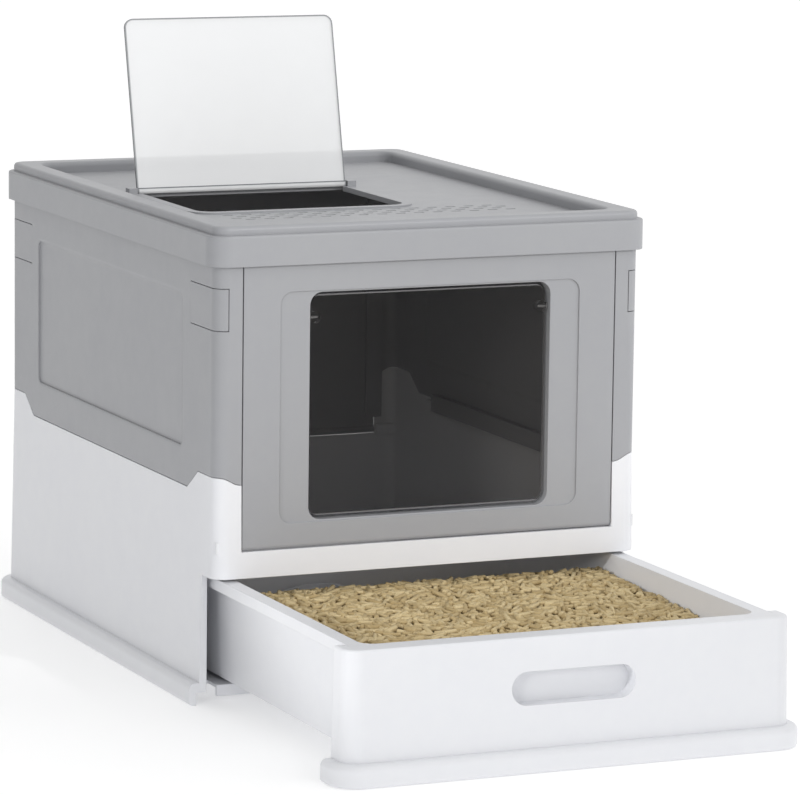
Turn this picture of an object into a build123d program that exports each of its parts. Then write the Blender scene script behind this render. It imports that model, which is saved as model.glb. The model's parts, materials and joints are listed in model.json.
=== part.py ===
from build123d import *
import math
import os

os.makedirs("parts", exist_ok=True)

# Covered litter box. Sizes in mm: X runs across the box, the door faces -Y, the floor is z = 0.

# walls
body_width = 357.2
body_depth = 474.0
corner_radius = 11.0
wall = 3.0

# white lower body
base_draft = 1.1
plinth_height = 17.5
plinth_flare = 8.0
plinth_top_round = 5.0
plinth_bottom_round = 3.0
plinth_wall = 6.0
floor_underside = 9.9
floor_thickness = 2.5
floor_lip = 3.0
floor_lip_bottom = 3.5
floor_setback = 10.0
floor_corner_cut = 12.5
floor_corner_length = 18.0
rail_bottom = 102.2
rail_height = 20.4
post_rise = 57.8
side_drop = 15.5
slant_margin = 36.6
slant_run = 22.2

# drawer
pull_out = 259.3
return_depth = 23.5
front_gap = 1.2
front_floor_gap = 0.8
front_edge_round = 2.0
front_wall = 3.5
front_depth = 14.5
drawer_top_gap = 2.4
tray_floor_gap = 3.6
tray_wall = 2.5
tray_draft = 4.6
tray_radius = 5.0
tray_side_gap = 4.5
tray_lip_reach = 9.0
tray_lip_height = 9.0
tray_lip_thickness = 2.5
lip_gap = 0.3
runner_width = 6.0
runner_inset = 44.0
runner_gap = 0.3
slot_length = 100.0
slot_height = 25.0
slot_drop = 37.9
pocket_depth = 10.0
pocket_wall = 2.5
litter_drop = 21.0
heap_drop = 13.0
heap_fall = 62.0
heap_gap = 8.5
shelf_depth = 14.0
litter_clearance = 0.3

# scoop on the low end of the litter
scoop_wall_gap = 9.5
basket_length = 118.0
basket_width = 100.0
basket_height = 20.0
basket_radius = 8.0
scoop_wall = 2.2
handle_length = 116.0
handle_width = 27.0
handle_thickness = 5.0
scoop_slot_length = 25.0
scoop_slot_width = 6.0
scoop_slot_rows = 3
scoop_slots_per_row = 7
scoop_slot_pitch_x = 32.0
scoop_slot_pitch_y = 12.0

# grey walls
seam_gap = 0.5
wall_rise = 162.3
corner_return = 21.3
corner_dip = 6.0
panel_gap = 1.0
panel_overlap = 5.5
rail_gap = 0.6
flange_reach = 6.7
flange_inboard = 8.3
flange_rise = 11.0
flange_drop = 7.0
flange_clearance = 0.3
field_margin = 70.7
field_rise = 30.6
field_drop = 28.2
field_radius = 5.0
field_depth = 1.4

# hinge pins and bosses of the folding walls
pin_radius = 1.5
pin_clearance = 0.05
pin_bite = 9.0
boss_thickness = 5.5
boss_height = 9.0
strip_margin = 97.0
strip_thickness = 5.7
strip_height = 8.5
strip_gap = 0.3
lug_length = 10.0
lug_gap = 0.4

# corner latches
latch_length = 54.0
latch_wrap = 9.8
latch_drop = 17.2
latch_height = 31.8
latch_cut = 0.6

# door in the front wall
border_side = 30.3
border_margin = 1.4
border_radius = 10.0
border_depth = 1.2
door_side = 24.7
door_sill = 17.7
door_head = 22.5
door_radius = 10.0
door_edge_round = 0.5
collar_thickness = 3.5
collar_depth = 8.0
door_axis_drop = 20.0
door_axis_inset = 7.5
door_flap_thickness = 2.4
door_flap_gap = 2.4
door_flap_radius = 8.0
door_boss_radius = 4.8
door_boss_thickness = 5.2
door_boss_inset = 3.0
door_pin_radius = 1.2
door_pin_bite = 6.0

# lid
lid_gap = 2.0
lid_wall = 3.0
lid_rest_gap = 0.05
skirt_height = 23.8
skirt_round = 1.5
rim_step = 4.5
rim_rise = 6.7
rim_band = 19.0
rim_round = 3.0
rim_inner_round = 4.0
deck_sink = 9.0
deck_thickness = 3.0
exit_margin = 28.1
exit_width = 177.5
exit_length = 140.9
exit_mid_y = -14.0
exit_radius = 14.0
exit_lip_width = 8.0
exit_lip_height = 1.3
hole_length = 9.0
hole_width = 4.0
hole_pitch_x = 16.0
hole_pitch_y = 9.5
hole_rows = 4
hole_margin = 8.0
hole_side_margin = 36.0

# exit flap
flap_axis_inset = 5.8
flap_front_overlap = 6.2
flap_side_overlap = 3.0
flap_thickness = 2.2
flap_seat_gap = 0.4
flap_radius = 7.5
flap_lean = 13.5
flap_barrel_radius = 2.8
flap_pin_radius = 1.2
flap_pin_bite = 8.0
flap_side_gap = 0.8
flap_lug_thickness = 7.5
flap_lug_half = 4.2

# plan of the walls and the plinth
half_width = body_width / 2
half_depth = body_depth / 2
inner_width = body_width - 2 * wall
inner_depth = body_depth - 2 * wall
inner_radius = corner_radius - wall
post_inside = half_width - corner_return
mouth_y = half_depth - return_depth
floor_front = mouth_y - floor_setback
corner_start = half_depth - corner_radius
slant_end = half_depth - slant_margin
slant_start = slant_end - slant_run
far = 2 * (body_width + body_depth)

# levels, from the floor up
floor_top = floor_underside + floor_thickness
drawer_top = rail_bottom - drawer_top_gap
rail_top = rail_bottom + rail_height
post_top = rail_top + post_rise
side_top = post_top - side_drop
skirt_bottom = post_top + wall_rise
skirt_top = skirt_bottom + skirt_height
rim_top = skirt_top + rim_rise
deck_top = rim_top - deck_sink
deck_underside = deck_top - deck_thickness
lid_ledge = skirt_top - lid_wall
wall_top = lid_ledge - lid_rest_gap

# plinth, which carries the drafted lower body
draft_growth = post_top * math.tan(math.radians(base_draft))
plinth_width = body_width + 2 * (draft_growth + plinth_flare)
plinth_depth = body_depth + 2 * (draft_growth + plinth_flare)
plinth_radius = corner_radius + draft_growth + plinth_flare

# drawer, pulled out
front_face = -half_depth - pull_out
tray_bottom = floor_top + tray_floor_gap
tray_height = drawer_top - tray_bottom
tray_growth = tray_height * math.tan(math.radians(tray_draft))
tray_top_width = inner_width - 2 * (tray_side_gap + tray_lip_reach)
tray_front = half_depth - front_depth
tray_back = inner_depth / 2 - tray_side_gap - tray_lip_reach
tray_top_length = tray_front + tray_back
tray_mid = (tray_back - tray_front) / 2 - pull_out
runner_x = tray_top_width / 2 - runner_inset
slot_level = drawer_top - slot_drop
litter_front_top = drawer_top - litter_drop
heap_top = drawer_top - heap_drop
shelf_top = tray_bottom + tray_wall + shelf_depth
scoop_y = tray_back - pull_out - scoop_wall_gap - basket_width / 2
heap_foot = scoop_y - basket_width / 2 - heap_gap

# folding walls and side walls
panel_width = 2 * (post_inside - panel_gap)
panel_barrel = wall
panel_axis_y = half_depth - panel_barrel
panel_axis_level = rail_top + rail_gap + panel_barrel
panel_top = skirt_bottom + panel_overlap
flange_bottom = panel_axis_level + flange_rise
flange_top = panel_top - flange_drop
field_length = body_depth - 2 * field_margin
field_bottom = side_top + field_rise
field_top = skirt_bottom - field_drop
hinge_hole = pin_radius + pin_clearance
strip_length = body_depth - 2 * strip_margin
strip_top = side_top - seam_gap
strip_inside = inner_width / 2 - strip_gap - strip_thickness
strip_axis_x = strip_inside + strip_thickness / 2
strip_axis_z = strip_top - strip_height / 2
latch_root = half_depth - latch_length
latch_end = half_width - latch_wrap
latch_top = skirt_bottom - latch_drop
latch_bottom = latch_top - latch_height

# door
border_width = panel_width - 2 * border_side
door_width = border_width - 2 * door_side
door_bottom = panel_axis_level + door_sill
door_top = skirt_bottom - door_head
door_height = door_top - door_bottom
door_mid = door_bottom + door_height / 2
door_axis_level = door_top - door_axis_drop
door_axis_y = -half_depth + door_axis_inset

# lid and exit
lid_width = body_width + 2 * (lid_gap + lid_wall)
lid_depth = body_depth + 2 * (lid_gap + lid_wall)
lid_radius = corner_radius + lid_gap + lid_wall
rim_width = lid_width - 2 * rim_step
rim_depth = lid_depth - 2 * rim_step
rim_radius = lid_radius - rim_step
deck_width = rim_width - 2 * rim_band
deck_depth = rim_depth - 2 * rim_band
exit_left = exit_margin - deck_width / 2
exit_right = exit_left + exit_width
exit_front = exit_mid_y - exit_length / 2
exit_back = exit_mid_y + exit_length / 2
holes_per_row = int((deck_width - 2 * hole_side_margin) / hole_pitch_x)
flap_axis_y = exit_back - flap_axis_inset
flap_axis_z = deck_top + exit_lip_height + flap_seat_gap + flap_thickness / 2
flap_length = flap_axis_y - exit_front + flap_front_overlap
flap_left = exit_left - flap_side_overlap
flap_right = exit_right + flap_side_overlap


def rounded_block(width, depth, radius, bottom, height, y=0.0, taper=0.0, mode=Mode.ADD):
    """Upright block with rounded corners."""
    with BuildSketch(Plane((0, y, bottom))) as outline:
        RectangleRounded(width, depth, radius)
    extrude(outline.sketch, amount=height, taper=taper, mode=mode)


def rounded_ring(outer, inner, bottom, height, y=0.0, mode=Mode.ADD):
    """Upright ring between two rounded rectangles, each given as width, depth, radius."""
    with BuildSketch(Plane((0, y, bottom))) as outline:
        RectangleRounded(*outer)
        RectangleRounded(*inner, mode=Mode.SUBTRACT)
    extrude(outline.sketch, amount=height, mode=mode)


def span_box(x, y, z, mode=Mode.ADD):
    """Box given by its two limits along each axis."""
    with BuildSketch(Plane(((x[0] + x[1]) / 2, (y[0] + y[1]) / 2, z[0]))) as outline:
        Rectangle(abs(x[1] - x[0]), abs(y[1] - y[0]))
    extrude(outline.sketch, amount=z[1] - z[0], mode=mode)


def rod_x(x, y, z, radius, mode=Mode.ADD):
    """Round rod along X between two limits."""
    with BuildSketch(Plane(origin=(min(x), y, z), x_dir=(0, 1, 0), z_dir=(1, 0, 0))) as outline:
        Circle(radius)
    extrude(outline.sketch, amount=max(x) - min(x), mode=mode)


def rod_y(x, y, z, radius, mode=Mode.ADD):
    """Round rod along Y between two limits."""
    with BuildSketch(Plane(origin=(x, min(y), z), x_dir=(1, 0, 0), z_dir=(0, 1, 0))) as outline:
        Circle(radius)
    extrude(outline.sketch, amount=max(y) - min(y), mode=mode)


def side_profile(points, mode):
    """Outline in Y and Z, taken straight through the whole width."""
    with BuildSketch(Plane.YZ.offset(-far)) as outline:
        with BuildLine():
            Polyline(*points, close=True)
        make_face()
    extrude(outline.sketch, amount=2 * far, mode=mode)


def white_block(y):
    """Drafted lower body on its flared plinth. Its top edge lines up with the grey walls."""
    rounded_block(plinth_width, plinth_depth, plinth_radius, 0, plinth_height, y)
    fillet(edges().group_by(Axis.Z)[-1], plinth_top_round)
    fillet(edges().group_by(Axis.Z)[0], plinth_bottom_round)
    rounded_block(
        body_width + 2 * draft_growth,
        body_depth + 2 * draft_growth,
        corner_radius + draft_growth,
        0,
        post_top,
        y,
        taper=base_draft,
    )


def post_boss(side, end, mode):
    """Boss behind a corner post, or its hole, for a hinge pin of a folding wall."""
    axis_y = end * panel_axis_y
    if mode == Mode.ADD:
        span_box(
            (side * post_inside, side * (inner_width / 2 + wall / 2)),
            (axis_y - end * boss_thickness, axis_y + end * wall / 2),
            (panel_axis_level - boss_height / 2, panel_axis_level + boss_height / 2),
        )
    else:
        rod_x(
            (side * (post_inside - panel_gap), side * (post_inside + pin_bite + panel_gap)),
            axis_y,
            panel_axis_level,
            hinge_hole,
            mode,
        )


def side_lug(side, end, mode):
    """Lug inside a white side wall, or its hole, for a hinge pin of a grey side wall."""
    start = strip_length / 2 + lug_gap
    if mode == Mode.ADD:
        span_box(
            (side * strip_inside, side * (inner_width / 2 + wall / 2)),
            (end * start, end * (start + lug_length)),
            (strip_top - strip_height, strip_top),
        )
    else:
        reach = (end * start, end * (start + lug_length))
        rod_y(side * strip_axis_x, reach, strip_axis_z, hinge_hole, mode)


def corner_seam(side, end, gap, level, mode):
    """Region between a level and the seam round a corner, which dips towards the folding wall."""
    low = (side * post_inside, post_top - corner_dip + gap)
    high = (side * inner_width / 2, post_top + gap)
    edge = side * (post_inside - panel_gap)
    with BuildSketch(Plane.XZ.offset(-end * corner_start)) as outline:
        with BuildLine():
            Spline(low, high, tangents=((side, 0), (side, 0)))
            Polyline(high, (side * far, high[1]), (side * far, level), (edge, level), (edge, low[1]), low)
        make_face()
    extrude(outline.sketch, amount=-end * far, mode=mode)


with BuildPart() as base_shell:
    white_block(0)
    # hollow plinth under the floor
    rounded_block(
        plinth_width - 2 * plinth_wall,
        plinth_depth - 2 * plinth_wall,
        plinth_radius - plinth_wall,
        0,
        floor_underside,
        mode=Mode.SUBTRACT,
    )
    # cabin and drawer bay
    rounded_block(inner_width, inner_depth, inner_radius, floor_top, post_top, mode=Mode.SUBTRACT)
    # drawer mouth: the drawer front completes the two front corners
    span_box((-far, far), (-far, -mouth_y), (0, rail_bottom), Mode.SUBTRACT)
    # floor tongue, set back from the mouth and narrower at its front
    span_box(
        (-inner_width / 2, inner_width / 2), (-mouth_y - wall, -floor_front), (0, floor_top), Mode.SUBTRACT
    )
    tongue_half = inner_width / 2 - floor_corner_cut
    for side in (-1, 1):
        span_box(
            (side * tongue_half, side * inner_width / 2),
            (-mouth_y, -floor_front + floor_corner_length),
            (0, floor_top),
            Mode.SUBTRACT,
        )
    span_box(
        (-tongue_half, tongue_half),
        (-floor_front, -floor_front + floor_lip),
        (floor_lip_bottom, floor_top),
    )
    # gaps for the folding front and rear walls
    for end in (-1, 1):
        span_box(
            (-post_inside, post_inside),
            (end * (inner_depth / 2 - wall), end * far),
            (rail_top, post_top + wall),
            Mode.SUBTRACT,
        )
    # lower top edge along the middle of each side
    side_profile(
        (
            (-slant_end, post_top),
            (-slant_start, side_top),
            (slant_start, side_top),
            (slant_end, post_top),
            (slant_end, post_top + wall),
            (-slant_end, post_top + wall),
        ),
        Mode.SUBTRACT,
    )
    for side in (-1, 1):
        for end in (-1, 1):
            corner_seam(side, end, 0, post_top + wall, Mode.SUBTRACT)
    for mode in (Mode.ADD, Mode.SUBTRACT):
        for side in (-1, 1):
            for end in (-1, 1):
                post_boss(side, end, mode)
                side_lug(side, end, mode)
base_shell.part.label = "base_shell"
export_step(base_shell.part, "parts/base_shell.step")


def pan(inset, bottom, mode=Mode.ADD):
    """Body of the tray, or its hollow: sides that lean out towards the top."""
    rounded_block(
        tray_top_width - 2 * (tray_growth + inset),
        tray_top_length - 2 * (tray_growth + inset),
        tray_radius,
        bottom,
        tray_height,
        tray_mid,
        taper=-tray_draft,
        mode=mode,
    )


with BuildPart() as drawer_tray:
    # lip along both sides and the rear, turned down at its edge
    lip_width = tray_top_width + 2 * tray_lip_reach
    lip_length = tray_top_length + 2 * tray_lip_reach
    lip_radius = tray_lip_reach + tray_radius
    rounded_block(
        lip_width, lip_length, lip_radius, drawer_top - tray_lip_height, tray_lip_height, tray_mid
    )
    rounded_block(
        lip_width - 2 * tray_lip_thickness,
        lip_length - 2 * tray_lip_thickness,
        lip_radius - tray_lip_thickness,
        drawer_top - tray_lip_height,
        tray_lip_height - tray_lip_thickness,
        tray_mid,
        mode=Mode.SUBTRACT,
    )
    span_box((-far, far), (-far, tray_mid - tray_top_length / 2), (0, far), Mode.SUBTRACT)
    # the lip runs straight on to the drawer front
    for side in (-1, 1):
        edge = side * lip_width / 2
        span_box(
            (edge, edge - side * tray_lip_thickness),
            (tray_mid - tray_top_length / 2, tray_mid),
            (drawer_top - tray_lip_height, drawer_top),
        )
        span_box(
            (edge, edge - side * lip_radius),
            (tray_mid - tray_top_length / 2, tray_mid),
            (drawer_top - tray_lip_thickness, drawer_top),
        )
    pan(0, tray_bottom)
    pan(tray_wall, tray_bottom + tray_wall, Mode.SUBTRACT)
    # runners under the pan
    runner_half = tray_top_length / 2 - tray_growth - tray_radius
    for side in (-1, 1):
        span_box(
            (side * (runner_x - runner_width / 2), side * (runner_x + runner_width / 2)),
            (tray_mid - runner_half, tray_mid + runner_half),
            (floor_top + runner_gap, tray_bottom + tray_wall / 2),
        )
drawer_tray.part.label = "drawer_tray"
export_step(drawer_tray.part, "parts/drawer_tray.step")

with BuildPart() as drawer_front:
    white_block(-pull_out)
    return_end = -mouth_y - front_gap - pull_out
    span_box((-far, far), (-far, return_end), (front_floor_gap, drawer_top), Mode.INTERSECT)
    top_edges = faces().sort_by(Axis.Z)[-1].edges()
    fillet(top_edges.filter_by(lambda edge: edge.center().Y < return_end - front_gap), front_edge_round)
    # hollow behind the face, under a top ledge that meets the tray
    hollow_half = half_width - front_wall / 2
    span_box(
        (-hollow_half, hollow_half),
        (front_face + wall, return_end + wall),
        (0, drawer_top - tray_lip_thickness),
        Mode.SUBTRACT,
    )
    ledge_half = inner_width / 2 - tray_side_gap
    span_box(
        (-ledge_half, ledge_half),
        (front_face + wall, -tray_front - pull_out),
        (drawer_top - tray_lip_thickness, drawer_top),
    )
    # room for the tray's lip between the returns
    span_box(
        (-ledge_half - lip_gap, ledge_half + lip_gap),
        (-tray_front - pull_out, return_end + wall),
        (drawer_top - tray_lip_height, drawer_top + wall),
        Mode.SUBTRACT,
    )
    # finger pocket, closed behind
    pocket_origin = (0, front_face + pocket_depth, slot_level)
    pocket_plane = Plane(origin=pocket_origin, x_dir=(1, 0, 0), z_dir=(0, -1, 0))
    with BuildSketch(pocket_plane.offset(-pocket_wall)):
        SlotOverall(slot_length + 2 * pocket_wall, slot_height + 2 * pocket_wall)
    extrude(amount=pocket_depth + pocket_wall)
    with BuildSketch(pocket_plane):
        SlotOverall(slot_length, slot_height)
    extrude(amount=pocket_depth + front_depth, mode=Mode.SUBTRACT)
drawer_front.part.label = "drawer_front"
export_step(drawer_front.part, "parts/drawer_front.step")

with BuildPart() as litter_bed:
    pan(tray_wall + litter_clearance, tray_bottom + tray_wall)
    # heaped towards the middle of the box, low at the rear
    side_profile(
        (
            (-far, 0),
            (-far, litter_front_top),
            (-tray_front - pull_out, litter_front_top),
            (heap_foot - heap_fall, heap_top),
            (heap_foot, shelf_top),
            (far, shelf_top),
            (far, 0),
        ),
        Mode.INTERSECT,
    )
litter_bed.part.label = "litter_bed"
export_step(litter_bed.part, "parts/litter_bed.step")

with BuildPart() as litter_scoop:
    basket_x = -handle_length / 2
    handle_start = basket_x + basket_length / 2 - scoop_wall
    basket_plane = Plane((basket_x, scoop_y, shelf_top))
    with BuildSketch(basket_plane):
        RectangleRounded(basket_length, basket_width, basket_radius)
    extrude(amount=basket_height)
    with BuildSketch(basket_plane.offset(scoop_wall)):
        RectangleRounded(
            basket_length - 2 * scoop_wall, basket_width - 2 * scoop_wall, basket_radius - scoop_wall
        )
    extrude(amount=basket_height, mode=Mode.SUBTRACT)
    # the rim falls away to a low front edge
    with BuildSketch(Plane(origin=(basket_x, scoop_y, shelf_top), x_dir=(1, 0, 0), z_dir=(0, -1, 0))):
        with BuildLine():
            Polyline(
                (-basket_length, scoop_wall),
                (-basket_length / 2 + basket_radius, scoop_wall),
                (basket_length / 4, basket_height),
                (basket_length / 4, 2 * basket_height),
                (-basket_length, 2 * basket_height),
                close=True,
            )
        make_face()
    extrude(amount=basket_width, both=True, mode=Mode.SUBTRACT)
    with BuildSketch(basket_plane):
        with GridLocations(
            scoop_slot_pitch_x, scoop_slot_pitch_y, scoop_slot_rows, scoop_slots_per_row
        ):
            SlotOverall(scoop_slot_length, scoop_slot_width)
    extrude(amount=scoop_wall, mode=Mode.SUBTRACT)
    # handle with a paw-print hang hole
    handle_plane = Plane((handle_start, scoop_y, shelf_top + basket_height - handle_thickness))
    with BuildSketch(handle_plane) as handle_outline:
        Rectangle(handle_length, handle_width, align=(Align.MIN, Align.CENTER))
        fillet(handle_outline.vertices().group_by(Axis.X)[-1], handle_width / 2 - 0.5)
    extrude(amount=handle_thickness)
    paw_x = handle_length - handle_width / 2
    with BuildSketch(handle_plane):
        with Locations((paw_x, 0)):
            Circle(handle_width / 6)
        with Locations((paw_x - handle_width / 9, 0)):
            with PolarLocations(handle_width / 3.6, 4, 120, 120):
                Circle(handle_width / 15)
    extrude(amount=handle_thickness, mode=Mode.SUBTRACT)
litter_scoop.part.label = "litter_scoop"
export_step(litter_scoop.part, "parts/litter_scoop.step")


def wall_ring(bottom, top):
    """Ring of the grey walls between two levels."""
    outside = (body_width, body_depth, corner_radius)
    inside = (inner_width, inner_depth, inner_radius)
    rounded_ring(outside, inside, bottom, top - bottom)


def side_wall(side):
    """Grey side wall with short returns round its two corners."""
    wall_ring(side_top + seam_gap, wall_top)
    span_box((side * post_inside, side * far), (-far, far), (0, far), Mode.INTERSECT)
    # lower edge, higher at both ends
    for end in (-1, 1):
        side_profile(
            (
                (end * slant_start, side_top),
                (end * slant_start, side_top + seam_gap),
                (end * slant_end, post_top + seam_gap),
                (end * corner_start, post_top + seam_gap),
                (end * corner_start, side_top),
            ),
            Mode.SUBTRACT,
        )
        corner_seam(side, end, seam_gap, side_top, Mode.SUBTRACT)
    # shallow field
    field_level = (field_bottom + field_top) / 2
    field_plane = Plane(origin=(side * half_width, 0, field_level), x_dir=(0, 1, 0), z_dir=(side, 0, 0))
    with BuildSketch(field_plane) as field:
        RectangleRounded(field_length, field_top - field_bottom, field_radius)
    extrude(field.sketch, amount=-field_depth, mode=Mode.SUBTRACT)
    # windows of the latches
    for end in (-1, 1):
        span_box(
            (side * (latch_end - latch_cut), side * far),
            (end * latch_root, end * far),
            (latch_bottom - latch_cut, latch_top + latch_cut),
            Mode.SUBTRACT,
        )
    # hinge strip inside the lower edge
    strip_out = strip_inside + strip_thickness
    span_box(
        (side * strip_inside, side * strip_out),
        (-strip_length / 2, strip_length / 2),
        (strip_top - strip_height, strip_top + 2 * wall),
    )
    span_box(
        (side * strip_inside, side * (strip_out + wall / 2)),
        (-strip_length / 2, strip_length / 2),
        (side_top + seam_gap, strip_top + 2 * wall),
    )
    for end in (-1, 1):
        reach = (end * (strip_length / 2 - pin_bite), end * strip_length)
        rod_y(side * strip_axis_x, reach, strip_axis_z, hinge_hole, Mode.SUBTRACT)


with BuildPart() as left_side_panel:
    side_wall(-1)
left_side_panel.part.label = "left_side_panel"
export_step(left_side_panel.part, "parts/left_side_panel.step")

with BuildPart() as right_side_panel:
    side_wall(1)
right_side_panel.part.label = "right_side_panel"
export_step(right_side_panel.part, "parts/right_side_panel.step")

with BuildPart() as side_panel_pins:
    for side in (-1, 1):
        for end in (-1, 1):
            reach = (end * (strip_length / 2 - pin_bite), end * (strip_length / 2 + lug_gap + lug_length))
            rod_y(side * strip_axis_x, reach, strip_axis_z, pin_radius)
side_panel_pins.part.label = "side_panel_pins"
export_step(side_panel_pins.part, "parts/side_panel_pins.step")


def latch(side, end):
    """Snap tab cut out of a grey corner."""
    wall_ring(latch_bottom, latch_top)
    span_box((side * latch_end, side * far), (end * latch_root, end * far), (0, far), Mode.INTERSECT)


with BuildPart() as front_left_latch:
    latch(-1, -1)
front_left_latch.part.label = "front_left_latch"
export_step(front_left_latch.part, "parts/front_left_latch.step")

with BuildPart() as front_right_latch:
    latch(1, -1)
front_right_latch.part.label = "front_right_latch"
export_step(front_right_latch.part, "parts/front_right_latch.step")

with BuildPart() as rear_left_latch:
    latch(-1, 1)
rear_left_latch.part.label = "rear_left_latch"
export_step(rear_left_latch.part, "parts/rear_left_latch.step")

with BuildPart() as rear_right_latch:
    latch(1, 1)
rear_right_latch.part.label = "rear_right_latch"
export_step(rear_right_latch.part, "parts/rear_right_latch.step")


def folding_wall(end):
    """Flat wall between the side walls, with a hinge barrel below and a flange down each side."""
    face = end * half_depth
    back = end * (half_depth - wall)
    flange_back = end * (half_depth - 2 * wall)
    half_panel = panel_width / 2
    span_box((-half_panel, half_panel), (face, back), (panel_axis_level, panel_top))
    rod_x((-half_panel, half_panel), end * panel_axis_y, panel_axis_level, panel_barrel)
    for side in (-1, 1):
        span_box(
            (side * (half_panel - flange_inboard), side * half_panel),
            (back, flange_back),
            (flange_bottom, flange_top),
        )
        span_box(
            (side * (half_panel - flange_inboard), side * (half_panel + flange_reach)),
            (back - end * flange_clearance, flange_back),
            (flange_bottom, flange_top),
        )
        reach = (side * (half_panel - pin_bite), side * far)
        rod_x(reach, end * panel_axis_y, panel_axis_level, hinge_hole, Mode.SUBTRACT)


def folding_wall_pins(end):
    """Two pins from the hinge barrel into the corner posts."""
    for side in (-1, 1):
        reach = (side * (panel_width / 2 - pin_bite), side * (post_inside + pin_bite))
        rod_x(reach, end * panel_axis_y, panel_axis_level, pin_radius)


with BuildPart() as front_panel:
    folding_wall(-1)
    face_plane = Plane(origin=(0, -half_depth, door_mid), x_dir=(1, 0, 0), z_dir=(0, -1, 0))
    # shallow border either side of the door
    with BuildSketch(face_plane):
        RectangleRounded(border_width, door_height + 2 * border_margin, border_radius)
    extrude(amount=-border_depth, mode=Mode.SUBTRACT)
    # collar round the door, which carries the flap's pins
    with BuildSketch(face_plane.offset(-wall)):
        RectangleRounded(
            door_width + 2 * collar_thickness,
            door_height + 2 * collar_thickness,
            door_radius + collar_thickness,
        )
    extrude(amount=-collar_depth)
    with BuildSketch(face_plane):
        RectangleRounded(door_width, door_height, door_radius)
    extrude(amount=-(wall + collar_depth), mode=Mode.SUBTRACT)
    door_edge = edges().filter_by_position(Axis.Y, -half_depth + border_depth / 2, -half_depth + wall / 2)
    door_edge = door_edge.filter_by_position(Axis.X, -door_width / 2 - wall / 4, door_width / 2 + wall / 4)
    door_edge = door_edge.filter_by_position(
        Axis.Z, door_bottom - wall / 4, door_top + wall / 4
    )
    fillet(door_edge, door_edge_round)
    for side in (-1, 1):
        reach = (side * (door_width / 2 - wall), side * (door_width / 2 + collar_thickness))
        rod_x(reach, door_axis_y, door_axis_level, door_pin_radius + pin_clearance, Mode.SUBTRACT)
front_panel.part.label = "front_panel"
export_step(front_panel.part, "parts/front_panel.step")

with BuildPart() as front_panel_pins:
    folding_wall_pins(-1)
front_panel_pins.part.label = "front_panel_pins"
export_step(front_panel_pins.part, "parts/front_panel_pins.step")

with BuildPart() as rear_panel:
    folding_wall(1)
rear_panel.part.label = "rear_panel"
export_step(rear_panel.part, "parts/rear_panel.step")

with BuildPart() as rear_panel_pins:
    folding_wall_pins(1)
rear_panel_pins.part.label = "rear_panel_pins"
export_step(rear_panel_pins.part, "parts/rear_panel_pins.step")

with BuildPart() as door_flap:
    flap_plane = Plane(origin=(0, door_axis_y, door_mid), x_dir=(1, 0, 0), z_dir=(0, -1, 0))
    with BuildSketch(flap_plane):
        RectangleRounded(door_width - 2 * door_flap_gap, door_height - 2 * door_flap_gap, door_flap_radius)
    extrude(amount=door_flap_thickness / 2, both=True)
    # round boss at each pivot
    door_boss_x = door_width / 2 - door_flap_gap - door_boss_inset
    for side in (-1, 1):
        boss_reach = (door_axis_y - door_boss_thickness / 2, door_axis_y + door_boss_thickness / 2)
        rod_y(side * door_boss_x, boss_reach, door_axis_level, door_boss_radius)
    for side in (-1, 1):
        reach = (side * (door_width / 2 - door_flap_gap - door_pin_bite), side * far)
        rod_x(reach, door_axis_y, door_axis_level, door_pin_radius + pin_clearance, Mode.SUBTRACT)
door_flap.part.label = "door_flap"
export_step(door_flap.part, "parts/door_flap.step")

with BuildPart() as door_flap_pins:
    for side in (-1, 1):
        reach = (
            side * (door_width / 2 - door_flap_gap - door_pin_bite),
            side * (door_width / 2 + collar_thickness),
        )
        rod_x(reach, door_axis_y, door_axis_level, door_pin_radius)
door_flap_pins.part.label = "door_flap_pins"
export_step(door_flap_pins.part, "parts/door_flap_pins.step")

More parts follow.
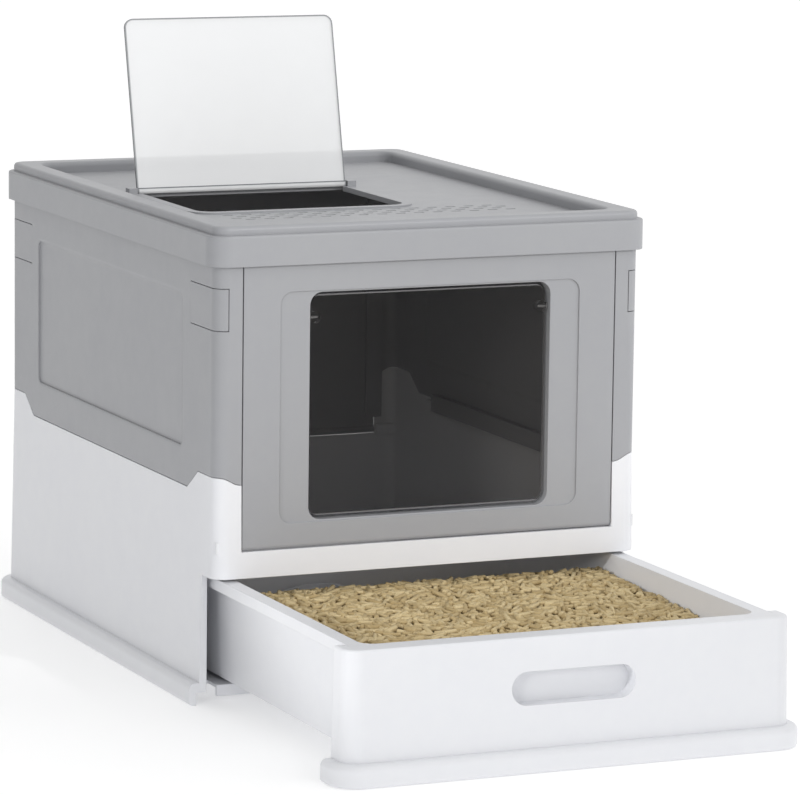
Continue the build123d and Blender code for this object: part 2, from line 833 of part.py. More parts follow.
with BuildPart() as lid:
    rounded_block(lid_width, lid_depth, lid_radius, skirt_bottom, skirt_top - skirt_bottom)
    fillet(edges().group_by(Axis.Z)[-1], skirt_round)
    rounded_block(rim_width, rim_depth, rim_radius, skirt_bottom, rim_top - skirt_bottom)
    fillet(edges().group_by(Axis.Z)[-1], rim_round)
    # sunk deck inside the rim
    rounded_block(deck_width, deck_depth, rim_radius, deck_top, rim_top, mode=Mode.SUBTRACT)
    inner_rim = edges().group_by(Axis.Z)[-1].filter_by(
        lambda edge: abs(edge.center().X) < deck_width / 2 + 1 and abs(edge.center().Y) < deck_depth / 2 + 1
    )
    fillet(inner_rim, rim_inner_round)
    # hollow underside: skirt, ledge that sits on the walls, channel under the rim
    skirt_hollow = (lid_width - 2 * lid_wall, lid_depth - 2 * lid_wall, lid_radius - lid_wall)
    rim_hollow = (rim_width - 2 * lid_wall, rim_depth - 2 * lid_wall, rim_radius - lid_wall)
    deck_block = (deck_width + 2 * lid_wall, deck_depth + 2 * lid_wall, rim_radius + lid_wall)
    rounded_block(*skirt_hollow, skirt_bottom, deck_underside - skirt_bottom, mode=Mode.SUBTRACT)
    rounded_ring(
        skirt_hollow, deck_block, deck_underside, lid_ledge - deck_underside, mode=Mode.SUBTRACT
    )
    rounded_ring(rim_hollow, deck_block, lid_ledge, rim_top - lid_wall - lid_ledge, mode=Mode.SUBTRACT)
    # exit opening with a low lip
    exit_plane = Plane(((exit_left + exit_right) / 2, exit_mid_y, deck_underside))
    with BuildSketch(exit_plane.offset(deck_thickness)):
        RectangleRounded(
            exit_width + 2 * exit_lip_width, exit_length + 2 * exit_lip_width, exit_radius + exit_lip_width
        )
    extrude(amount=exit_lip_height)
    with BuildSketch(exit_plane):
        RectangleRounded(exit_width, exit_length, exit_radius)
    extrude(amount=2 * deck_thickness, mode=Mode.SUBTRACT)
    # room for the flap's hinge barrel, and a lug at each end of it
    notch = (flap_left - flap_side_gap, flap_right + flap_side_gap)
    span_box(
        notch,
        (flap_axis_y - flap_lug_half, exit_back),
        (deck_underside, deck_top + 2 * exit_lip_height),
        Mode.SUBTRACT,
    )
    lug_levels = (deck_underside, flap_axis_z + flap_barrel_radius)
    lug_span = (flap_axis_y - flap_lug_half, flap_axis_y + flap_lug_half)
    span_box((notch[0] - flap_lug_thickness, notch[0]), lug_span, lug_levels)
    span_box((notch[1], notch[1] + flap_lug_thickness), lug_span, lug_levels)
    pin_reach = (notch[0] - flap_lug_thickness, notch[1] + flap_lug_thickness)
    rod_x(pin_reach, flap_axis_y, flap_axis_z, flap_pin_radius + pin_clearance, Mode.SUBTRACT)
    # drain holes in staggered rows in front of the exit
    for row in range(hole_rows):
        row_y = exit_front - exit_lip_width - hole_margin - row * hole_pitch_y
        row_x = hole_pitch_x / 4 if row % 2 else -hole_pitch_x / 4
        with BuildSketch(Plane((row_x, row_y, deck_underside))):
            with GridLocations(hole_pitch_x, hole_pitch_y, holes_per_row, 1):
                SlotOverall(hole_length, hole_width)
        extrude(amount=deck_thickness, mode=Mode.SUBTRACT)
lid.part.label = "lid"
export_step(lid.part, "parts/lid.step")

with BuildPart() as top_flap:
    lean = math.radians(flap_lean)
    open_plane = Plane(
        origin=((flap_left + flap_right) / 2, flap_axis_y, flap_axis_z),
        x_dir=(1, 0, 0),
        z_dir=(0, -math.cos(lean), math.sin(lean)),
    )
    with BuildSketch(open_plane) as flap_outline:
        Rectangle(flap_right - flap_left, flap_length, align=(Align.CENTER, Align.MIN))
        fillet(flap_outline.vertices().group_by(Axis.Y)[-1], flap_radius)
    extrude(amount=flap_thickness / 2, both=True)
    rod_x((flap_left, flap_right), flap_axis_y, flap_axis_z, flap_barrel_radius)
    for x, away in ((flap_left, -far), (flap_right, far)):
        inward = flap_pin_bite if away < 0 else -flap_pin_bite
        rod_x((x + inward, away), flap_axis_y, flap_axis_z, flap_pin_radius + pin_clearance, Mode.SUBTRACT)
top_flap.part.label = "top_flap"
export_step(top_flap.part, "parts/top_flap.step")

with BuildPart() as top_flap_pins:
    pin_length = flap_pin_bite + flap_side_gap + flap_lug_thickness
    left_start = flap_left + flap_pin_bite
    right_start = flap_right - flap_pin_bite
    rod_x((left_start, left_start - pin_length), flap_axis_y, flap_axis_z, flap_pin_radius)
    rod_x((right_start, right_start + pin_length), flap_axis_y, flap_axis_z, flap_pin_radius)
top_flap_pins.part.label = "top_flap_pins"
export_step(top_flap_pins.part, "parts/top_flap_pins.step")
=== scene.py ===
import json
import math
import bpy
import numpy as np
from mathutils import Matrix, Vector


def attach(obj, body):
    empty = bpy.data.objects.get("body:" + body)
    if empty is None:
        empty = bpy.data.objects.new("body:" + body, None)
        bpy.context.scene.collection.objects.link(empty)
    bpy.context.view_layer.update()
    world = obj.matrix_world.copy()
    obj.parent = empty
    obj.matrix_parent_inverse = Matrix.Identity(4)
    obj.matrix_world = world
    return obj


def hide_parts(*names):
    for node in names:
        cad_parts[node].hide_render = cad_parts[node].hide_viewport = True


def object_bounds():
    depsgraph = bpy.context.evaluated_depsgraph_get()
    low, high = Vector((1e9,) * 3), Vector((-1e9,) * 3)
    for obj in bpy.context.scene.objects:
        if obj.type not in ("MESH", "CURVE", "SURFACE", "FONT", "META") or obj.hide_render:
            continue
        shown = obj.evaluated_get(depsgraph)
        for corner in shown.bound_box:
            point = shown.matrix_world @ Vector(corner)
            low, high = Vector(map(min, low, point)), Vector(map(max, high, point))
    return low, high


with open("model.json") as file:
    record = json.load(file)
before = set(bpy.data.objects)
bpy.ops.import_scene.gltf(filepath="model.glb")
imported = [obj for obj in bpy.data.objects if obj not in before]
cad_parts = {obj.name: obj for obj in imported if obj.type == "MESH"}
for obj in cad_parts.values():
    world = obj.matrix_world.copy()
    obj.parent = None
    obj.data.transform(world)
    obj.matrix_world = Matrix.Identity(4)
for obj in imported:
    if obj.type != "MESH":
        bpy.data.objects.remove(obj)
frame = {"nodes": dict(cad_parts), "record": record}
cad_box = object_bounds()
nodes = frame["nodes"]
MM = 0.001
WHITE = (1.0, 1.0, 1.0, 1.0)


def extent(name, axis):
    """Lowest and highest place of a CAD node along an axis."""
    places = [vertex.co[axis] for vertex in nodes[name].data.vertices]
    return min(places), max(places)


def sheet_outline(name, radius, below=0.0):
    """A flap's outline across X and Z, from its CAD node, carried on below it by a length."""
    left, right = extent(name, 0)
    bottom, top = extent(name, 2)
    bottom -= below
    middle = ((left + right) / 2, (bottom + top) / 2)
    half = ((right - left) / 2, (top - bottom) / 2)
    return {"middle": middle, "half": half, "radius": radius}


# Camera of the photograph: where it stands, where it looks, and its field of view.
IMAGE_WIDTH_PX = 800
VIEW_AZIMUTH = math.radians(-23.849)
VIEW_ELEVATION = math.radians(9.137)
VIEW_ROLL = math.radians(0.747)
VIEW_TARGET = Vector((0.07522, -0.0075, 0.1951))
VIEW_DISTANCE = 3.8696
FOCAL_LENGTH_PX = 4690.9
SENSOR_WIDTH = 36.0

# White surroundings, dimmer to the left of the box. Directions run from -1 at the left to 1 at the right.
FRONT_BRIGHTNESS = 1.0
SIDE_BRIGHTNESS = 0.2
FALL_FROM = 0.1
FALL_TO = -1.0

# Floor: it glows a little, so that it fades into the surroundings.
FLOOR_SIZE = 40.0
FLOOR_TONE = (0.9, 0.9, 0.9, 1.0)
FLOOR_GLOW = 0.29

# Beams of light on the front wall and the lid, on the whole box and on the tray: watts, metres and degrees.
BEAMS = {
    "front_beam": {
        "power": 84.0,
        "place": (0.8, -3.0, 1.3),
        "aim": (-0.02, -0.237, 0.36),
        "width": 13.0,
        "source": 0.05,
    },
    "corner_beam": {
        "power": 50.0,
        "place": (-2.3, -2.4, 1.0),
        "aim": (0.0, -0.1, 0.22),
        "width": 26.0,
        "source": 0.25,
    },
    "tray_beam": {
        "power": 60.0,
        "place": (-2.2, -0.9, 0.75),
        "aim": (0.1, -0.37, 0.12),
        "width": 10.0,
        "source": 0.05,
    },
}
BEAM_EDGE = 0.35

# Moulded plastic: flow marks and clouds to a metre, their share in the tone, and what they do to the gloss.
FLOW_MARKS = 9.0
CLOUDS = 70.0
FLOW_SHARE = 0.55
TONE_CHANGE = (0.3, 0.75)
CLOUD_ROUGHNESS = 0.10
GRAIN_ROUGHNESS = 0.05
GRAIN_STRENGTH = 0.16
GRAIN_HEIGHT = 0.3 * MM
PLASTIC_IOR = 1.46

# Sunk field of each side wall: its outline along Y and Z, and the soft slope round it.
FIELD = {"middle": (0.0, 255.0 * MM), "half": (166.3 * MM, 59.5 * MM), "radius": 5.0 * MM}
FIELD_SLOPE = 2.6 * MM
FIELD_DEPTH = 1.0 * MM

# Outlines of the two flaps, which place their painted rims: painted shade on the clear one, a painted
# highlight on the smoke one. The clear one runs on below its hinge, where it shows no rim.
PAINTED_RIM_WIDTH = 1.2 * MM
HINGE_REACH = 60.0 * MM
TOP_SHEET = sheet_outline("top_flap", 7.5 * MM, HINGE_REACH)
DOOR_SHEET = sheet_outline("door_flap", 8.0 * MM)

# Pressed fibre: flecks and fibres to a metre, how much of it is flecked, and its rough skin.
FLECKS = 900.0
FIBRES = 3000.0
FLECK_RANGE = (0.52, 0.72)
FLECK_DEPTH = 0.5
SKIN_STRENGTH = 0.5
SKIN_HEIGHT = 0.4 * MM

# Inside of the tray at its top edge: its walls lean out towards the top.
TRAY_TOP = extent("drawer_tray", 2)[1]
TRAY_FLOOR = extent("litter_bed", 2)[0]
TRAY_LEAN = math.tan(math.radians(4.6))
TRAY_HALF_WIDTH = 159.2 * MM
TRAY_FRONT = -478.9 * MM
TRAY_REAR = -41.7 * MM

# Litter, place and level from the tray's front to its rear: a long rise, a crest, a fall to a low shelf.
LITTER_PROFILE = (
    (TRAY_FRONT, 78.8 * MM),
    (-380.0 * MM, 81.6 * MM),
    (-290.0 * MM, 84.5 * MM),
    (-228.0 * MM, 86.2 * MM),
    (-217.0 * MM, 85.6 * MM),
    (-208.0 * MM, 80.0 * MM),
    (-158.0 * MM, 34.5 * MM),
    (-150.0 * MM, 31.2 * MM),
    (TRAY_REAR, 31.2 * MM),
)
LITTER_PLACES, LITTER_LEVELS = zip(*LITTER_PROFILE)
CORE_DEPTH = 3.0 * MM
CORE_CLEARANCE = 0.4 * MM
NEAR = 1.0 * MM

# Loose pellets: their shape, and how they lie in staggered rows and layers.
PELLET_DIAMETER = 3.7 * MM
PELLET_LENGTHS = (7.5 * MM, 9.0 * MM, 10.5 * MM, 12.0 * MM, 13.5 * MM, 15.0 * MM)
PELLET_SIDES = 6
PELLET_WORN_END = 0.55 * MM
PELLET_WARP = 0.07 * MM
PELLET_SPACING = 7.4 * MM
PELLET_LAYERS = 2
PELLET_SINK = 3.2 * MM
LAYER_RISE = 2.0 * MM
PELLET_SCATTER = 0.42 * PELLET_SPACING
PELLET_UNEVEN = (-1.0 * MM, 0.6 * MM)
PELLET_TILT = 0.17
PELLET_WALL_GAP = 0.6 * PELLET_DIAMETER
LITTER_BEDS = 4
LITTER_SEED = 11


class Socket:
    """A shader value. Operators on it add Math nodes."""

    def __init__(self, finish, socket):
        self.finish = finish
        self.socket = socket

    def maths(self, operation, *values):
        return self.finish.add("ShaderNodeMath", {"operation": operation}, *values)

    def __add__(self, other):
        return self.maths("ADD", self, other)

    def __sub__(self, other):
        return self.maths("SUBTRACT", self, other)

    def __rsub__(self, other):
        return self.maths("SUBTRACT", other, self)

    def __mul__(self, other):
        return self.maths("MULTIPLY", self, other)

    __radd__ = __add__
    __rmul__ = __mul__

    def raised(self, power):
        return self.maths("POWER", self, power)

    def absolute(self):
        return self.maths("ABSOLUTE", self)

    def larger(self, other):
        return self.maths("MAXIMUM", self, other)

    def smaller(self, other):
        return self.maths("MINIMUM", self, other)

    def step(self, low, high):
        """0 below low, 1 above high, smooth between."""
        ramp = {"interpolation_type": "SMOOTHSTEP"}
        return self.finish.add("ShaderNodeMapRange", ramp, self, low, high, 0.0, 1.0)


class Finish:
    """Shader nodes of a material or of the surroundings, added one by one."""

    def __init__(self, owner, output="ShaderNodeOutputMaterial"):
        owner.use_nodes = True
        self.owner = owner
        self.tree = owner.node_tree
        self.tree.nodes.clear()
        self.output = self.tree.nodes.new(output)

    def add(self, kind, settings=None, *values, out=0, **named):
        """Adds a node, sets it up, feeds its sockets in order or by name, and gives one output."""
        node = self.tree.nodes.new(kind)
        for key, value in (settings or {}).items():
            setattr(node, key, value)
        for index, value in enumerate(values):
            self.feed(node.inputs[index], value)
        for name, value in named.items():
            self.feed(node.inputs[name.replace("_", " ")], value)
        return Socket(self, node.outputs[out])

    def feed(self, target, value):
        """Links or sets a socket. None leaves it alone."""
        if isinstance(value, Socket):
            self.tree.links.new(value.socket, target)
        elif value is not None:
            target.default_value = value

    def coordinate(self, axis):
        """One object coordinate, in metres."""
        here = self.add("ShaderNodeTexCoord", out="Object")
        return self.add("ShaderNodeSeparateXYZ", None, here, out=axis)

    def outline(self, axes, middle, half, radius):
        """Distance from a rounded rectangle, below zero inside it."""
        offsets = []
        for axis, centre, reach in zip(axes, middle, half):
            offsets.append((self.coordinate(axis) - centre).absolute() - (reach - radius))
        first, second = offsets
        corner = (first.larger(0.0).raised(2.0) + second.larger(0.0).raised(2.0)).raised(0.5)
        return corner + first.larger(second).smaller(0.0) - radius

    def faces_aside(self, axis):
        """1 on the cut edges of a sheet that faces along an axis."""
        facing = self.add("ShaderNodeTexCoord", out="Normal")
        along = self.add("ShaderNodeSeparateXYZ", None, facing, out=axis)
        return 1.0 - along.absolute().step(0.55, 0.9)

    def noise(self, scale, detail=3.0, rough=0.5):
        """Noise of about that many features to a metre."""
        here = self.add("ShaderNodeTexCoord", out="Object")
        return self.add("ShaderNodeTexNoise", None, here, Scale=scale, Detail=detail, Roughness=rough)

    def mix(self, share, first, second):
        """Blend of two colours. The Mix node's sockets for numbers and vectors come before its colours."""
        other_sockets = [None] * 5
        return self.add("ShaderNodeMix", {"data_type": "RGBA"}, share, *other_sockets, first, second, out=2)

    def bump(self, height, strength, distance, normal=None):
        """Normal of a surface raised by a height times a distance."""
        return self.add(
            "ShaderNodeBump", Height=height, Strength=strength, Distance=distance, Normal=normal
        )

    def principled(self, **sockets):
        return self.add("ShaderNodeBsdfPrincipled", **sockets)

    def surface(self, shader):
        self.tree.links.new(shader.socket, self.output.inputs["Surface"])
        return self.owner


def colour(red, green, blue):
    """Linear colour with full alpha from 8-bit display values."""
    def linear(value):
        share = value / 255
        return share / 12.92 if share <= 0.04045 else ((share + 0.055) / 1.055) ** 2.4

    return (linear(red), linear(green), linear(blue), 1.0)


def moulded_plastic(name, tone, deep_tone, roughness, grain, edge_round, relief=None):
    """Satin moulded plastic: fine grain, soft flow marks, slightly rounded edges, relief if it has some."""
    finish = Finish(bpy.data.materials.new(name))
    smooth = finish.add("ShaderNodeBevel", {"samples": 6}, edge_round)
    if relief is not None:
        smooth = finish.bump(relief(finish), 1.0, 1.0, smooth)
    fine = finish.noise(grain, detail=2.0, rough=0.6)
    flow = finish.noise(FLOW_MARKS)
    cloud = finish.noise(CLOUDS, detail=4.0, rough=0.6)
    shade = FLOW_SHARE * flow + (1.0 - FLOW_SHARE) * cloud
    base = finish.mix(shade.step(*TONE_CHANGE), tone, deep_tone)
    rough = roughness + CLOUD_ROUGHNESS * (cloud - 0.5) + GRAIN_ROUGHNESS * (fine - 0.5)
    grained = finish.bump(fine, GRAIN_STRENGTH, GRAIN_HEIGHT, smooth)
    satin = finish.principled(Base_Color=base, Roughness=rough, Normal=grained, IOR=PLASTIC_IOR)
    return finish.surface(satin)


def white_plastic():
    return moulded_plastic(
        "white_satin_plastic",
        tone=colour(231, 232, 235),
        deep_tone=colour(228, 229, 233),
        roughness=0.38,
        grain=2600.0,
        edge_round=0.7 * MM,
    )


def grey_plastic(name="grey_satin_plastic", relief=None):
    return moulded_plastic(
        name,
        tone=colour(161, 162, 165),
        deep_tone=colour(158, 159, 163),
        roughness=0.39,
        grain=2200.0,
        edge_round=0.6 * MM,
        relief=relief,
    )


def field_slope(finish):
    """Height of the soft slope round the sunk field of a side wall."""
    return finish.outline("YZ", **FIELD).step(-FIELD_SLOPE, FIELD_SLOPE) * FIELD_DEPTH


def see_through(finish, sheet, through_tone, share):
    """Shows what is behind a sheet, but for the share of the sheet itself."""
    through = finish.add("ShaderNodeBsdfTransparent", None, through_tone)
    return finish.surface(finish.add("ShaderNodeMixShader", None, share, through, sheet))


def clear_sheet():
    """Clear sheet: near-white mixed in over what shows through, as a painted milky sheen; its rounded rim
    and cut edges are painted grey, as painted shade.
    """
    finish = Finish(bpy.data.materials.new("clear_sheet_plastic"))
    # Mask of the rounded rim and the cut edges, where grey is painted as shade.
    painted_rim_mask = finish.outline("XZ", **TOP_SHEET).step(-1.4 * PAINTED_RIM_WIDTH, -0.6 * PAINTED_RIM_WIDTH)
    edge = finish.faces_aside("Y").larger(0.8 * painted_rim_mask)
    cloud = finish.noise(9.0)
    # Near-white is the painted sheen; the grey is painted shade on the rim and cut edges.
    body = finish.mix(edge, colour(247, 248, 249), colour(104, 108, 112))
    sheet = finish.principled(Base_Color=body, Roughness=0.06 + 0.05 * cloud, IOR=1.49)
    # Share of the sheet over what shows through: the painted sheen, with more of it at the painted edges.
    painted_sheen_and_edge_share = 0.66 + 0.12 * (cloud - 0.5) + 0.28 * edge
    return see_through(finish, sheet, WHITE, painted_sheen_and_edge_share)


def smoke_sheet():
    """Dark tinted glossy sheet that dimly shows what is behind it; its rim and cut edges catch the light, as
    a painted highlight in light grey.
    """
    finish = Finish(bpy.data.materials.new("smoke_sheet_plastic"))
    # Mask of the rim and the cut edges, where light grey is painted as a highlight.
    painted_rim_mask = finish.outline("XZ", **DOOR_SHEET).step(-1.2 * PAINTED_RIM_WIDTH, -0.5 * PAINTED_RIM_WIDTH)
    edge = finish.faces_aside("Y").larger(painted_rim_mask)
    cloud = finish.noise(12.0)
    tint = finish.mix(cloud, colour(20, 19, 18), colour(28, 27, 26))
    # Light grey on the rim and cut edges: a painted highlight over the sheet's own tint.
    body = finish.mix(edge, tint, colour(128, 128, 130))
    sheet = finish.principled(Base_Color=body, Roughness=0.07 + 0.05 * cloud, IOR=1.45)
    smoke_and_painted_edge_share = 0.16 + 0.04 * (cloud - 0.5) + 0.6 * edge
    return see_through(finish, sheet, (0.9, 0.89, 0.88, 1.0), smoke_and_painted_edge_share)


def pressed_fibre(name, tone, fleck_tone, pale_tone=None):
    """Pressed plant fibre with darker flecks and a rough skin. Loose pellets vary up to a paler tone."""
    finish = Finish(bpy.data.materials.new(name))
    own = tone
    if pale_tone is not None:
        paleness = finish.add("ShaderNodeAttribute", {"attribute_name": "tone"}, out="Fac")
        own = finish.mix(paleness, tone, pale_tone)
    fleck = finish.noise(FLECKS, detail=4.0, rough=0.65)
    fibre = finish.noise(FIBRES, detail=2.0, rough=0.6)
    base = finish.mix(fleck.step(*FLECK_RANGE) * FLECK_DEPTH, own, fleck_tone)
    skin = finish.bump(0.6 * fleck + 0.4 * fibre, SKIN_STRENGTH, SKIN_HEIGHT)
    return finish.surface(finish.principled(Base_Color=base, Roughness=0.78 + 0.1 * fibre, Normal=skin))


def loose_fibre():
    return pressed_fibre(
        "pressed_fibre_pellets",
        tone=colour(178, 156, 112),
        fleck_tone=colour(138, 114, 75),
        pale_tone=colour(214, 195, 152),
    )


def packed_fibre_painted_shade():
    # Dark brown: painted shade, which shows in the gaps between the loose pellets.
    return pressed_fibre("packed_fibre_painted_shade", tone=colour(92, 74, 46), fleck_tone=colour(66, 52, 32))


def pale_floor():
    finish = Finish(bpy.data.materials.new("pale_floor"))
    rough = 0.8 + 0.05 * finish.noise(2.0, rough=0.55)
    lit = finish.principled(
        Base_Color=FLOOR_TONE, Roughness=rough, Emission_Color=WHITE, Emission_Strength=FLOOR_GLOW
    )
    return finish.surface(lit)


def dress(piece, material):
    piece.data.materials.clear()
    piece.data.materials.append(material)


def dress_cad_nodes(finishes):
    """Gives each CAD node the finish of its slot, and the side walls their own with the soft field."""
    for part in frame["record"]["subparts"]:
        dress(nodes[part["node"]], finishes[part["material_slot"]])
    side_wall = grey_plastic("grey_side_wall_plastic", field_slope)
    for name in ("left_side_panel", "right_side_panel"):
        dress(nodes[name], side_wall)


def pick(kind, chosen):
    """In edit mode, selects the vertices or edges that a test on their places accepts."""
    bpy.ops.mesh.select_all(action="DESELECT")
    bpy.ops.object.mode_set(mode="OBJECT")
    mesh = bpy.context.object.data
    if kind == "VERT":
        for vertex in mesh.vertices:
            vertex.select = chosen(vertex.co)
    else:
        for edge in mesh.edges:
            edge.select = all(chosen(mesh.vertices[index].co) for index in edge.vertices)
    bpy.ops.object.mode_set(mode="EDIT")
    bpy.ops.mesh.select_mode(type=kind)


def litter_level(y):
    return np.interp(y, LITTER_PLACES, LITTER_LEVELS)


def tray_inset(level):
    """How far the tray's walls have leaned in at a level."""
    return TRAY_LEAN * (TRAY_TOP - level)


def litter_core():
    """Packed litter under the loose pellets: a block cut at each change of slope and drawn to its levels."""
    middle = (TRAY_FRONT + TRAY_REAR) / 2
    bpy.ops.object.select_all(action="DESELECT")
    bpy.ops.mesh.primitive_cube_add(size=1.0)
    core = bpy.context.object
    core.name = "litter_core"
    bpy.ops.object.mode_set(mode="EDIT")
    bpy.ops.transform.resize(value=(2 * TRAY_HALF_WIDTH, TRAY_REAR - TRAY_FRONT, TRAY_TOP - TRAY_FLOOR))
    bpy.ops.transform.translate(value=(0.0, middle, (TRAY_TOP + TRAY_FLOOR) / 2))
    for y in LITTER_PLACES[1:-1]:
        bpy.ops.mesh.select_all(action="SELECT")
        bpy.ops.mesh.bisect(plane_co=(0.0, y, 0.0), plane_no=(0.0, 1.0, 0.0))
    for y, level in LITTER_PROFILE:
        pick("VERT", lambda place: abs(place.y - y) < NEAR and place.z > TRAY_TOP - NEAR)
        bpy.ops.transform.translate(value=(0.0, 0.0, level - CORE_DEPTH - TRAY_TOP))
    bpy.ops.object.mode_set(mode="OBJECT")
    for vertex in core.data.vertices:
        inset = tray_inset(vertex.co.z) + CORE_CLEARANCE
        vertex.co.x -= math.copysign(inset, vertex.co.x)
        if min(abs(vertex.co.y - TRAY_FRONT), abs(vertex.co.y - TRAY_REAR)) < NEAR:
            vertex.co.y -= math.copysign(inset, vertex.co.y - middle)
    return core


def pellet(length, chance):
    """Points and faces of one pressed pellet along X: a short rod with worn ends, a little out of true."""
    bpy.ops.object.select_all(action="DESELECT")
    bpy.ops.mesh.primitive_cylinder_add(
        vertices=PELLET_SIDES, radius=PELLET_DIAMETER / 2, depth=length, rotation=(0.0, math.pi / 2, 0.0)
    )
    rod = bpy.context.object
    bpy.ops.object.transform_apply(location=False, rotation=True, scale=False)
    bpy.ops.object.mode_set(mode="EDIT")
    for end in (-length / 2, length / 2):
        pick("EDGE", lambda place: abs(place.x - end) < NEAR)
        bpy.ops.mesh.bevel(offset=PELLET_WORN_END, segments=1, affect="EDGES")
    bpy.ops.object.mode_set(mode="OBJECT")
    shape = np.array([vertex.co[:] for vertex in rod.data.vertices])
    shape += chance.normal(0.0, PELLET_WARP, shape.shape)
    faces = [tuple(face.vertices) for face in rod.data.polygons]
    bpy.data.meshes.remove(rod.data)
    return shape, faces


def pellet_grid():
    """X, Y and layer of each pellet, in staggered rows over the whole tray."""
    row_spacing = PELLET_SPACING * math.sqrt(0.75)
    spots = []
    for layer in range(PELLET_LAYERS):
        for row, y in enumerate(np.arange(TRAY_FRONT, TRAY_REAR, row_spacing)):
            shift = (row + layer) % 2 * PELLET_SPACING / 2
            for x in np.arange(-TRAY_HALF_WIDTH + shift, TRAY_HALF_WIDTH, PELLET_SPACING):
                spots.append((x, y, layer))
    return np.array(spots)


def loose_pellets(chance):
    """Places, directions, kinds and tones of the pellets that lie on the core."""
    spots = pellet_grid()
    count = len(spots)
    spots[:, :2] += chance.uniform(-PELLET_SCATTER, PELLET_SCATTER, (count, 2))
    x, y, layer = spots.T
    kind = chance.integers(0, len(PELLET_LENGTHS), count)
    yaw = chance.uniform(0.0, math.pi, count)
    slope = (litter_level(y + MM) - litter_level(y - MM)) / (2 * MM)
    level = litter_level(y) - PELLET_SINK + layer * LAYER_RISE + chance.uniform(*PELLET_UNEVEN, count)
    reach = np.array(PELLET_LENGTHS)[kind] / 2 + PELLET_WALL_GAP
    across = reach * np.abs(np.cos(yaw)) + tray_inset(level)
    along = reach * np.abs(np.sin(yaw)) + tray_inset(level)
    x = np.clip(x, across - TRAY_HALF_WIDTH, TRAY_HALF_WIDTH - across)
    y = np.clip(y, TRAY_FRONT + along, TRAY_REAR - along)
    pitch = np.sin(yaw) * slope + chance.normal(0.0, PELLET_TILT, count)
    axis = np.stack([np.cos(yaw), np.sin(yaw), pitch], 1)
    axis /= np.linalg.norm(axis, axis=1)[:, None]
    tone = chance.uniform(0.0, 1.0, count)
    return np.stack([x, y, level], 1), axis, kind, tone


def pellet_bed(name, place, axis, kind, tone, rods):
    """One mesh of many pellets, each a turned and moved copy of a modelled one."""
    points, faces, tones = [], [], []
    start = 0
    for index, (shape, sides) in enumerate(rods):
        chosen = kind == index
        ahead = axis[chosen]
        aside = np.cross((0.0, 0.0, 1.0), ahead)
        aside /= np.linalg.norm(aside, axis=1)[:, None]
        turn = np.stack([ahead, aside, np.cross(ahead, aside)], 2)
        copies = np.einsum("nij,vj->nvi", turn, shape) + place[chosen][:, None, :]
        points.append(copies.reshape(-1, 3))
        tones.append(np.repeat(tone[chosen], len(shape)))
        end = start + len(points[-1])
        for first in range(start, end, len(shape)):
            faces.extend(tuple(first + corner for corner in face) for face in sides)
        start = end
    mesh = bpy.data.meshes.new(name)
    mesh.from_pydata(np.concatenate(points).tolist(), [], faces)
    mesh.attributes.new("tone", "FLOAT", "POINT").data.foreach_set("value", np.concatenate(tones))
    mesh.polygons.foreach_set("use_smooth", [True] * len(mesh.polygons))
    bed = bpy.data.objects.new(name, mesh)
    bpy.context.collection.objects.link(bed)
    return bed


def litter(loose_finish):
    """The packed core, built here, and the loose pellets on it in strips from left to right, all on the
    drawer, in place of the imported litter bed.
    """
    chance = np.random.default_rng(LITTER_SEED)
    core = litter_core()
    # The core's dark brown is painted shade in the gaps between the pellets.
    dress(core, packed_fibre_painted_shade())
    pieces = [core]
    rods = [pellet(length, chance) for length in PELLET_LENGTHS]
    place, axis, kind, tone = loose_pellets(chance)
    share = (place[:, 0] + TRAY_HALF_WIDTH) / (2 * TRAY_HALF_WIDTH)
    strip = np.minimum(share * LITTER_BEDS, LITTER_BEDS - 1).astype(int)
    for index in range(LITTER_BEDS):
        own = strip == index
        name = f"litter_pellets_{index + 1}"
        bed = pellet_bed(name, place[own], axis[own], kind[own], tone[own], rods)
        dress(bed, loose_finish)
        pieces.append(bed)
    for piece in pieces:
        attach(piece, "drawer")
        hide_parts("litter_bed")


def white_surroundings():
    """White all round, dimmer to the left of the box."""
    light = Finish(bpy.data.worlds.new("white_surroundings"), "ShaderNodeOutputWorld")
    direction = light.add("ShaderNodeTexCoord", out="Generated")
    across = light.add("ShaderNodeSeparateXYZ", None, direction, out="X")
    gain = FRONT_BRIGHTNESS - SIDE_BRIGHTNESS
    strength = SIDE_BRIGHTNESS + gain * across.step(FALL_TO, FALL_FROM)
    background = light.add("ShaderNodeBackground", None, WHITE, strength)
    bpy.context.scene.world = light.surface(background)


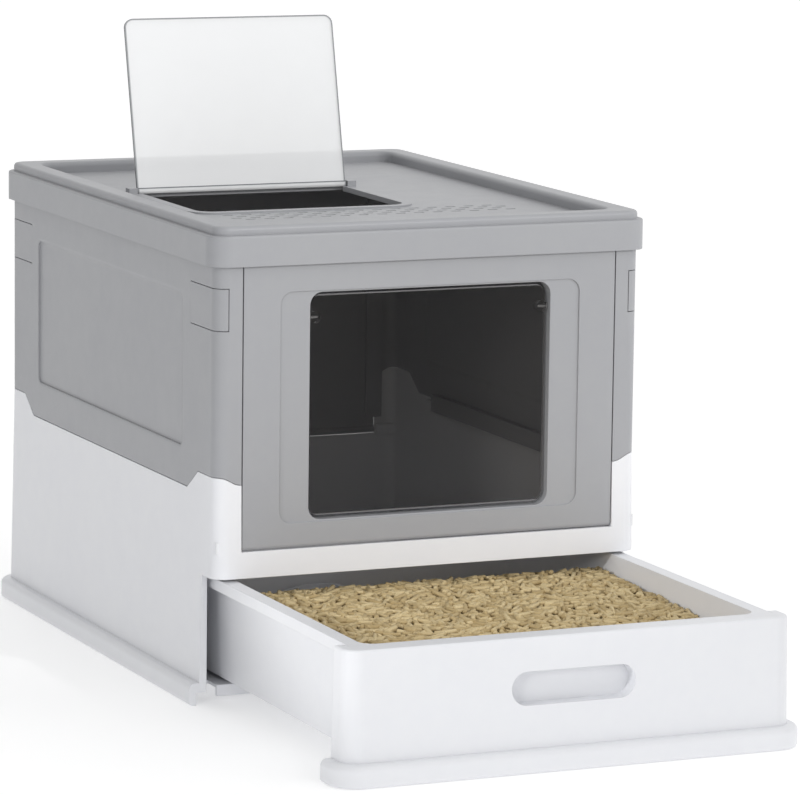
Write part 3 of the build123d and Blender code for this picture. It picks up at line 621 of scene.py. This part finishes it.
def beam(name, power, place, aim, width, source):
    """A soft-edged beam on one part of the box."""
    lamp = bpy.data.lights.new(name, "SPOT")
    lamp.energy = power
    lamp.spot_size = math.radians(width)
    lamp.spot_blend = BEAM_EDGE
    lamp.shadow_soft_size = source
    holder = bpy.data.objects.new(name, lamp)
    bpy.context.collection.objects.link(holder)
    holder.location = place
    holder.rotation_euler = (Vector(aim) - holder.location).to_track_quat("-Z", "Y").to_euler()


def studio():
    """Pale floor under the box, and the beams of light."""
    bpy.ops.mesh.primitive_plane_add(size=FLOOR_SIZE, location=(0.0, 0.0, cad_box[0][2]))
    floor = bpy.context.object
    floor.name = "studio_floor"
    dress(floor, pale_floor())
    for name, settings in BEAMS.items():
        beam(name, **settings)
    bpy.context.scene.view_settings.view_transform = "Standard"


def photo_camera():
    """The camera of the photograph, turned about its line of sight by the roll."""
    back = Vector((
        math.sin(VIEW_AZIMUTH) * math.cos(VIEW_ELEVATION),
        -math.cos(VIEW_AZIMUTH) * math.cos(VIEW_ELEVATION),
        math.sin(VIEW_ELEVATION),
    ))
    level = Vector((0.0, 0.0, 1.0)).cross(back).normalized()
    upright = back.cross(level)
    right = math.cos(VIEW_ROLL) * level + math.sin(VIEW_ROLL) * upright
    up = math.cos(VIEW_ROLL) * upright - math.sin(VIEW_ROLL) * level
    camera = bpy.data.cameras.new("photo_camera")
    camera.sensor_width = SENSOR_WIDTH
    camera.lens = FOCAL_LENGTH_PX / IMAGE_WIDTH_PX * SENSOR_WIDTH
    viewer = bpy.data.objects.new("photo_camera", camera)
    bpy.context.collection.objects.link(viewer)
    turn = Matrix((right, up, back)).transposed().to_4x4()
    viewer.matrix_world = Matrix.Translation(VIEW_TARGET + VIEW_DISTANCE * back) @ turn
    bpy.context.scene.camera = viewer


finishes = {
    "white_plastic": white_plastic(),
    "grey_plastic": grey_plastic(),
    "clear_plastic": clear_sheet(),
    "smoke_plastic": smoke_sheet(),
    "litter": loose_fibre(),
}
dress_cad_nodes(finishes)
litter(finishes["litter"])
white_surroundings()
studio()
photo_camera()
